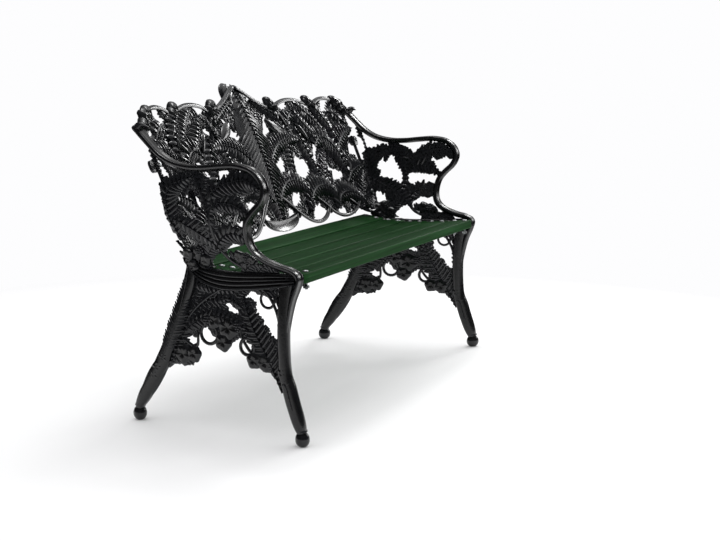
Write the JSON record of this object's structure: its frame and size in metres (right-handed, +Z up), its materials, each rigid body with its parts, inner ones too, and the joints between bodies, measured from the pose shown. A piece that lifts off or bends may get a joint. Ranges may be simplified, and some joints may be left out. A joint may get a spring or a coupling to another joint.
{
  "type": "garden bench",
  "caption": "Cast-iron garden bench with pierced fern-leaf ends and back and a painted timber board seat",
  "frame": {"origin": "on the floor under the middle of the bench's overall length and depth", "axes": "+X along the seat, the front faces -Y, +Z up"},
  "size_m": [1.4852, 0.5848, 0.905],
  "materials": {
    "cast_iron": "black gloss enamel on cast iron",
    "seat_boards": "softwood boards, dark green satin oil paint",
    "fixings": "zinc-plated steel"
  },
  "bodies": {
    "root": {"back_casting": "cast_iron", "back_left_1_bolt": "fixings", "back_left_1_nut": "fixings", "back_left_2_bolt": "fixings", "back_left_2_nut": "fixings", "back_right_1_bolt": "fixings", "back_right_1_nut": "fixings", "back_right_2_bolt": "fixings", "back_right_2_nut": "fixings", "board_1_left_1_bolt": "fixings", "board_1_left_1_nut": "fixings", "board_1_left_2_bolt": "fixings", "board_1_left_2_nut": "fixings", "board_1_right_1_bolt": "fixings", "board_1_right_1_nut": "fixings", "board_1_right_2_bolt": "fixings", "board_1_right_2_nut": "fixings", "board_2_left_1_bolt": "fixings", "board_2_left_1_nut": "fixings", "board_2_left_2_bolt": "fixings", "board_2_left_2_nut": "fixings", "board_2_right_1_bolt": "fixings", "board_2_right_1_nut": "fixings", "board_2_right_2_bolt": "fixings", "board_2_right_2_nut": "fixings", "board_3_left_1_bolt": "fixings", "board_3_left_1_nut": "fixings", "board_3_left_2_bolt": "fixings", "board_3_left_2_nut": "fixings", "board_3_right_1_bolt": "fixings", "board_3_right_1_nut": "fixings", "board_3_right_2_bolt": "fixings", "board_3_right_2_nut": "fixings", "board_4_left_1_bolt": "fixings", "board_4_left_1_nut": "fixings", "board_4_left_2_bolt": "fixings", "board_4_left_2_nut": "fixings", "board_4_right_1_bolt": "fixings", "board_4_right_1_nut": "fixings", "board_4_right_2_bolt": "fixings", "board_4_right_2_nut": "fixings", "board_5_left_1_bolt": "fixings", "board_5_left_1_nut": "fixings", "board_5_left_2_bolt": "fixings", "board_5_left_2_nut": "fixings", "board_5_right_1_bolt": "fixings", "board_5_right_1_nut": "fixings", "board_5_right_2_bolt": "fixings", "board_5_right_2_nut": "fixings", "left_end_casting": "cast_iron", "right_end_casting": "cast_iron", "seat_board_1": "seat_boards", "seat_board_2": "seat_boards", "seat_board_3": "seat_boards", "seat_board_4": "seat_boards", "seat_board_5": "seat_boards"}
  },
  "joints": []
}
